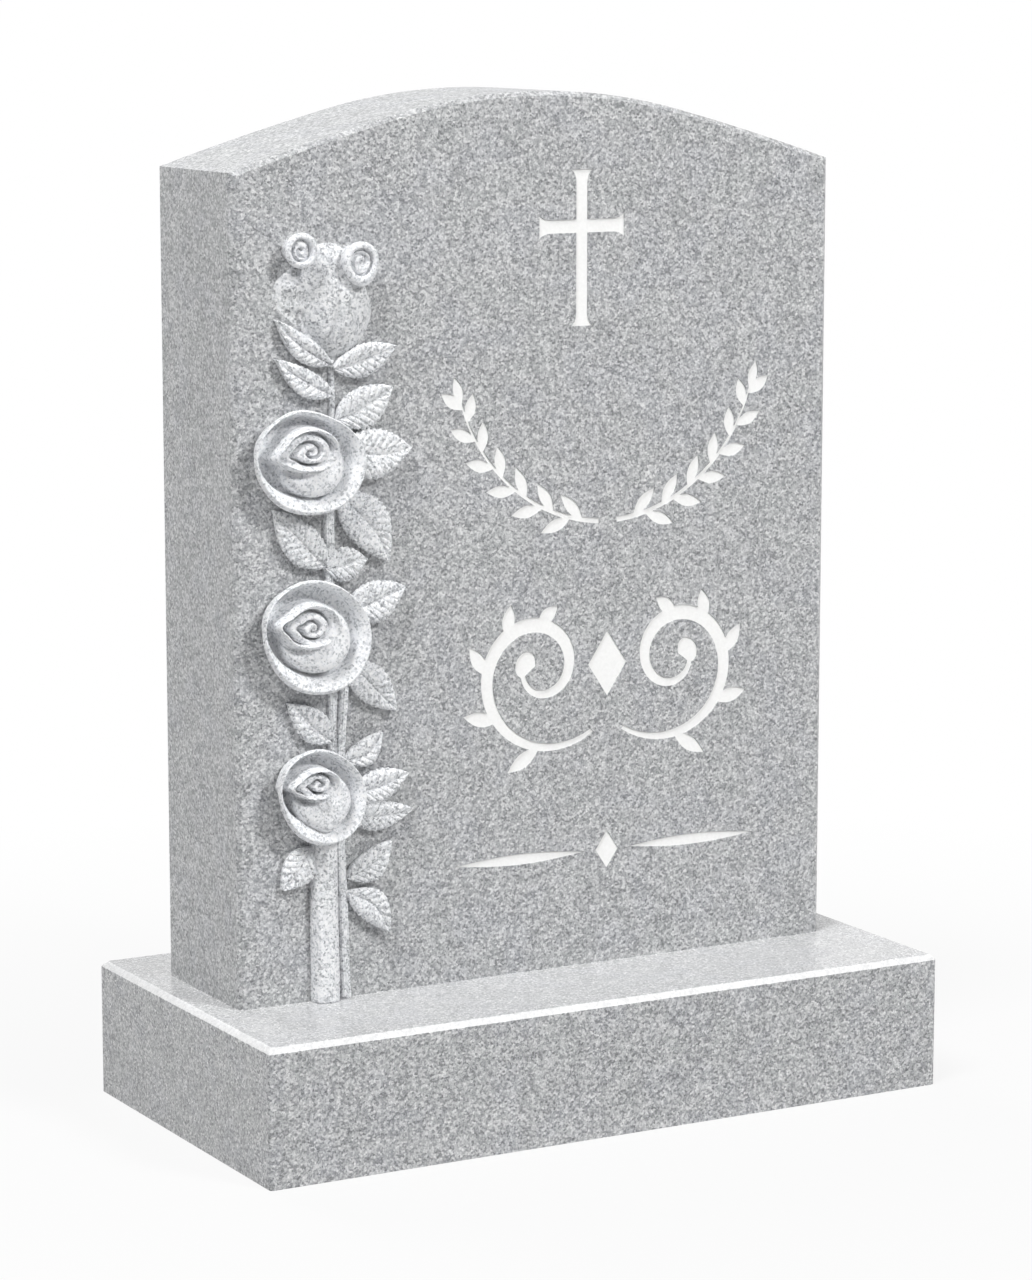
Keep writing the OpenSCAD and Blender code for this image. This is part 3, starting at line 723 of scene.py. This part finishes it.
def top_bud(node):
    """Broad petals folded over one another, with the two small buds standing on them."""
    points = face_points(node)
    low, high = points[:, :2].min(0), points[:, :2].max(0)
    size = high - low
    tall = points[:, 2].max()
    middle = low + size * TOP_MIDDLE
    angles, direction = compass(TOP_SECTORS)
    radius = outline_radius(hull(points[:, :2]), middle, angles)
    main, side = low + size * MAIN_PETAL[0], low + size * SIDE_PETAL[0]
    cut_head, cut_foot = low + size * CUT_HEAD, low + size * CUT_FOOT
    cut_run = cut_foot - cut_head
    cut_across = np.array([-cut_run[1], cut_run[0]]) / np.hypot(*cut_run)

    def petal(x, z, shape):
        centre, half, rise = shape
        return petal_dome(x, z, low + size * centre, size * half, rise * tall)

    def side_height(x, z):
        """The side petal, hollowed towards its lower edge."""
        h, inside = petal(x, z, SIDE_PETAL)
        lower = bell((z - side[1]) / MM + 7, math.sqrt(40))
        return h - SIDE_HOLLOW * lower * smooth_step(inside - 2.5, 1)

    def main_height(x, z):
        """The front petal has a thin rolled edge and soft lengthwise folds, and falls away
        steeply to the leaf at its lower left."""
        h, inside = petal(x, z, MAIN_PETAL)
        up = (z - main[1]) / size[1]
        across = (x - main[0]) / MM
        lip = bell(inside - 1.7, 1.1) * np.clip(4 * up + 1.1, 0, 1)
        fold = across + 9 - 22 * up + 26 * up ** 2
        crease = across - 11 + 16 * up
        folds = 1.1 * bell(fold, 3.2) - 1.0 * bell(fold - 6, 3) - 0.7 * bell(crease, 2.4)
        h = h + MM * (2.0 * lip + smooth_step(inside - 5, 2) * folds)
        past_cut = (x - cut_head[0]) * cut_across[0] + (z - cut_head[1]) * cut_across[1]
        return h * mix(0.1, 1.0, smooth_step(past_cut, 4.0 * MM))

    loops = []
    for u in rings(TOP_RINGS):
        xz = middle + direction * (radius * u)[:, None]
        x, z = xz.T
        petals = [petal(x, z, BACK_PETAL)[0], side_height(x, z), main_height(x, z)]
        h = soft_highest(petals, 0.9 * MM)
        loops.append(np.column_stack([xz, np.maximum(h + tooling(x, z), -SUNK)]))
    rim = middle + direction * radius[:, None]
    loops.append(np.column_stack([rim, np.full(TOP_SECTORS, -SUNK)]))
    return carved_piece(node, loops, BUD_STONE_PAINTED_SHADE, centre=(*middle, loops[0][:, 2].mean()))


# ---- Stems ----

STEM_SECTORS = 28
STEM_STEP = 1.8 * MM


def stem(node, seed):
    """A half-round stem with a knot, a groove down one side and faint fibres."""
    points = face_points(node)
    z0, z1 = points[:, 1].min(), points[:, 1].max()
    # middle and half width at the foot, and in the upper part
    low = points[points[:, 1] < z0 + 2 * MM]
    high = points[points[:, 1] > mix(z0, z1, 0.6)]
    foot, head = [((p[:, 0].min() + p[:, 0].max()) / 2, (p[:, 0].max() - p[:, 0].min()) / 2)
                  for p in (low, high)]
    tall = low[:, 2].max()
    steps = max(24, int((z1 - z0) / STEM_STEP))
    groove_at = 0.45 if seed % 2 else -0.45
    over_top = np.linspace(0, math.pi, STEM_SECTORS + 1)
    rise = np.sin(over_top)
    groove = 1.1 * bell(np.cos(over_top) - groove_at, 0.10)
    loops = []
    for t in np.linspace(0, 1, steps + 1):
        middle = mix(foot[0], head[0], t) + 0.25 * MM * math.sin(9 * t + seed)
        half = mix(foot[1], head[1], t)
        knot = 1 + 0.05 * bell(t - 0.55, 0.03)
        x = middle + half * knot * np.cos(over_top)
        z = np.full(len(x), mix(z0, z1, t))
        fibres = 0.3 * np.sin(13 * over_top + 3 * math.sin(5 * t + seed))
        h = tall * half / foot[1] * rise ** 0.58 + ((fibres - groove) * MM + tooling(x, z)) * rise
        back = [[middle - 0.9 * half, z[0], -SUNK], [middle + 0.9 * half, z[0], -SUNK]]
        loops.append(np.concatenate([np.column_stack([x, z, h]), back]))
    return carved_piece(node, loops, CARVED)


for name in ROSES:
    rose(name)
for number, name in enumerate(LEAF_NODES):
    leaf(name, number)
bud("bud_left", 0.1, np.array([1.2, 0]) * MM)
bud("bud_right", 0.55, np.array([4.5, -1.5]) * MM)
top_bud("bud_top")
for number, name in enumerate(sorted(n for n in frame["nodes"] if n.startswith("stem_"))):
    stem(name, number)


# ---- The CAD nodes that stay ----

def dress(node, material):
    obj = frame["nodes"][node]
    for slot in obj.material_slots:
        slot.material = material


def soften_arrises(node, width):
    obj = frame["nodes"][node]
    weld = obj.modifiers.new("weld", "WELD")
    weld.merge_threshold = 0.02 * MM
    bevel = obj.modifiers.new("soft_arris", "BEVEL")
    bevel.width = width
    bevel.segments = 2
    bevel.limit_method = "ANGLE"
    bevel.angle_limit = math.radians(24)
    bevel.harden_normals = True


dress("base", BASE)
soften_arrises("base", 0.8 * MM)
dress("tablet", POLISHED)
for name in frame["nodes"]:
    if name.startswith(("cross_", "branch_", "scroll_", "rule_")):
        dress(name, FILLING)


# ---- Floor, light and camera ----

WHITE = (1, 1, 1, 1)
FLOOR_REACH = 30.0
FLOOR_GREY = (0.60, 0.60, 0.60, 1)
SOFT_LIGHT = 0.04           # strength of the light that comes from all round


def floor():
    """Pale and matt. Camera, glossy and transmission rays see it as plain white, but for
    a share of its own shading near the object, which keeps the object's soft shadow."""
    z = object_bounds()[0][2]
    reach = FLOOR_REACH
    corners = [(-reach, -reach, z), (reach, -reach, z), (reach, reach, z), (-reach, reach, z)]
    n = Nodes(bpy.data.materials.new("floor"))
    matt = n.add("ShaderNodeBsdfDiffuse", {"Color": FLOOR_GREY})
    white = n.add("ShaderNodeEmission", {"Color": WHITE, "Strength": 1.0})
    place = n.add("ShaderNodeTexCoord").outputs["Object"]
    away = n.add("ShaderNodeVectorMath", {0: place}, operation="LENGTH").outputs["Value"]
    whiteness = n.maths("MULTIPLY", n.seen(), n.map_range(away, 0.4, 1.3, 0.88, 1.0))
    out = n.add("ShaderNodeMixShader", {0: whiteness, 1: matt.outputs[0], 2: white.outputs[0]})
    n.add("ShaderNodeOutputMaterial", {"Surface": out.outputs[0]})
    obj = mesh_object("floor", corners, [(0, 1, 2, 3)], n.owner)
    obj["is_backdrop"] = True


def world():
    """White to camera, glossy and transmission rays, and a faint even light otherwise."""
    n = Nodes(bpy.data.worlds.new("studio"))
    soft = n.add("ShaderNodeBackground", {"Color": WHITE, "Strength": SOFT_LIGHT})
    backdrop = n.add("ShaderNodeBackground", {"Color": WHITE, "Strength": 1.0})
    both = n.add("ShaderNodeMixShader", {0: n.seen(), 1: soft.outputs[0], 2: backdrop.outputs[0]})
    n.add("ShaderNodeOutputWorld", {"Surface": both.outputs[0]})
    bpy.context.scene.world = n.owner


def area_light(name, place, target, power):
    light = bpy.data.lights.new(name, "AREA")
    light.shape = "DISK"
    light.size = 5.0
    light.energy = power
    obj = bpy.data.objects.new(name, light)
    obj.location = place
    obj.rotation_euler = (Vector(target) - Vector(place)).to_track_quat("-Z", "Y").to_euler()
    bpy.context.scene.collection.objects.link(obj)


def camera():
    """Left of the front and a little above, as a long lens sees it."""
    azimuth, elevation = math.radians(29.2), math.radians(9.44)
    data = bpy.data.cameras.new("camera")
    data.lens = 113.06
    data.sensor_width = 36.0
    data.clip_end = 100
    obj = bpy.data.objects.new("camera", data)
    obj.location = (-1.7785, -3.1752, 1.0293)
    obj.rotation_euler = (math.pi / 2 - elevation, 0, -azimuth)
    bpy.context.scene.collection.objects.link(obj)
    bpy.context.scene.camera = obj


floor()
world()
area_light("key", (7.0, -14.0, 12.5), (0, 0, 0.35), 2450)
area_light("left", (-6.5, -3.5, 12.0), (0, 0, 0.2), 1480)
area_light("back", (-1.5, 12.0, 9.0), (0, 0, 0.3), 600)
camera()
bpy.context.scene.view_settings.view_transform = "Standard"
